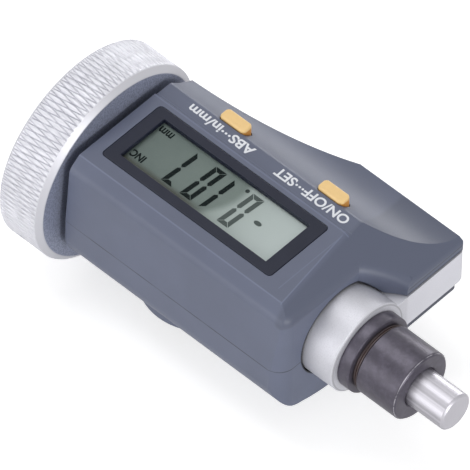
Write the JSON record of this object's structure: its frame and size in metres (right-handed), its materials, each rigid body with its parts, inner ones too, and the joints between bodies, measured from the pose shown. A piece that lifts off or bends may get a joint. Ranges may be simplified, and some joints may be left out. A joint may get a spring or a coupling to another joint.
{
  "type": "digital micrometer head",
  "caption": "Compact digital micrometer head with a large thimble behind, a display housing with two push buttons, a plain clamping stem and a sliding non-rotating spindle.",
  "frame": {"origin": "axis of the spindle at the start of the clamping length of the stem", "axes": "+X along the spindle towards its measuring tip, +Z out of the display, +Y towards the push buttons"},
  "size_m": [0.0791, 0.0402, 0.0356],
  "materials": {
    "aluminium_body": "fine cast and machined, satin",
    "black_steel": "black oxide, satin",
    "housing_plastic": "blue-grey moulded plastic, fine matt",
    "screw_steel": "plated steel",
    "board": "glass-fibre circuit board",
    "chip": "black moulded packages",
    "lcd": "liquid crystal panel, green-grey",
    "holder_plastic": "white moulded plastic",
    "pad_rubber": "soft silicone rubber",
    "bezel_plastic": "dark blue-black, smooth",
    "clear_pane": "clear window",
    "cell_steel": "nickel-plated can",
    "spring_brass": "spring bronze",
    "bush_brass": "turned bearing bronze",
    "ground_steel": "hardened and ground steel",
    "thimble_aluminium": "clear anodised, knurled grip",
    "button_plastic": "orange-yellow moulded plastic",
    "cap_plastic": "dark moulded plastic with a coin slot"
  },
  "bodies": {
    "housing": {"frame": "aluminium_body", "stem": "black_steel", "top_cover": "housing_plastic", "bottom_cover": "housing_plastic", "cover_screws": "screw_steel", "wing_screws": "screw_steel", "sensor_board": "board", "circuit_board": "board", "board_screws": "screw_steel", "board_chips": "chip", "lcd_panel": "lcd", "lcd_holder": "holder_plastic", "contact_strip": "pad_rubber", "bezel": "bezel_plastic", "window_pane": "clear_pane", "pad_back": "pad_rubber", "pad_front": "pad_rubber", "battery": "cell_steel", "cell_spring": "spring_brass", "hub_bush": "bush_brass", "thrust_washer": "ground_steel"},
    "thimble": {"thimble_drum": "thimble_aluminium", "thimble_hub": "ground_steel", "feed_screw": "ground_steel", "hub_ring": "ground_steel", "set_screw": "black_steel", "end_screw": "screw_steel", "end_cap": "thimble_aluminium"},
    "spindle": {"spindle": "ground_steel", "spindle_nut": "bush_brass", "carriage": "aluminium_body", "clamp_screw": "screw_steel", "guide_key": "ground_steel", "coupler_plate": "board"},
    "button_back": {"button_back": "button_plastic"},
    "button_front": {"button_front": "button_plastic"},
    "battery_cap": {"battery_cap": "cap_plastic", "cap_seal": "pad_rubber"}
  },
  "joints": [
    {"name": "thimble_spin", "type": "hinge", "parent": "housing", "child": "thimble", "pos_m": [-0.0592, 0, 0], "axis": [1, 0, 0], "range_deg": [0, 18000]},
    {"name": "spindle_feed", "type": "slide", "parent": "housing", "child": "spindle", "axis": [1, 0, 0], "range_m": [0, 0.025]},
    {"name": "button_back_press", "type": "slide", "parent": "housing", "child": "button_back", "axis": [0, 0, -1], "range_m": [0, 0.0004], "stiffness_N_per_m": 1500},
    {"name": "button_front_press", "type": "slide", "parent": "housing", "child": "button_front", "axis": [0, 0, -1], "range_m": [0, 0.0004], "stiffness_N_per_m": 1500},
    {"name": "battery_cap_turn", "type": "hinge", "parent": "housing", "child": "battery_cap", "pos_m": [-0.0372, 0, -0.012], "axis": [0, 0, -1], "range_deg": [0, 60]}
  ],
  "couplings": [
    {"joint": "spindle_feed", "follows": "thimble_spin", "m_per_rad": 0.000079577}
  ]
}
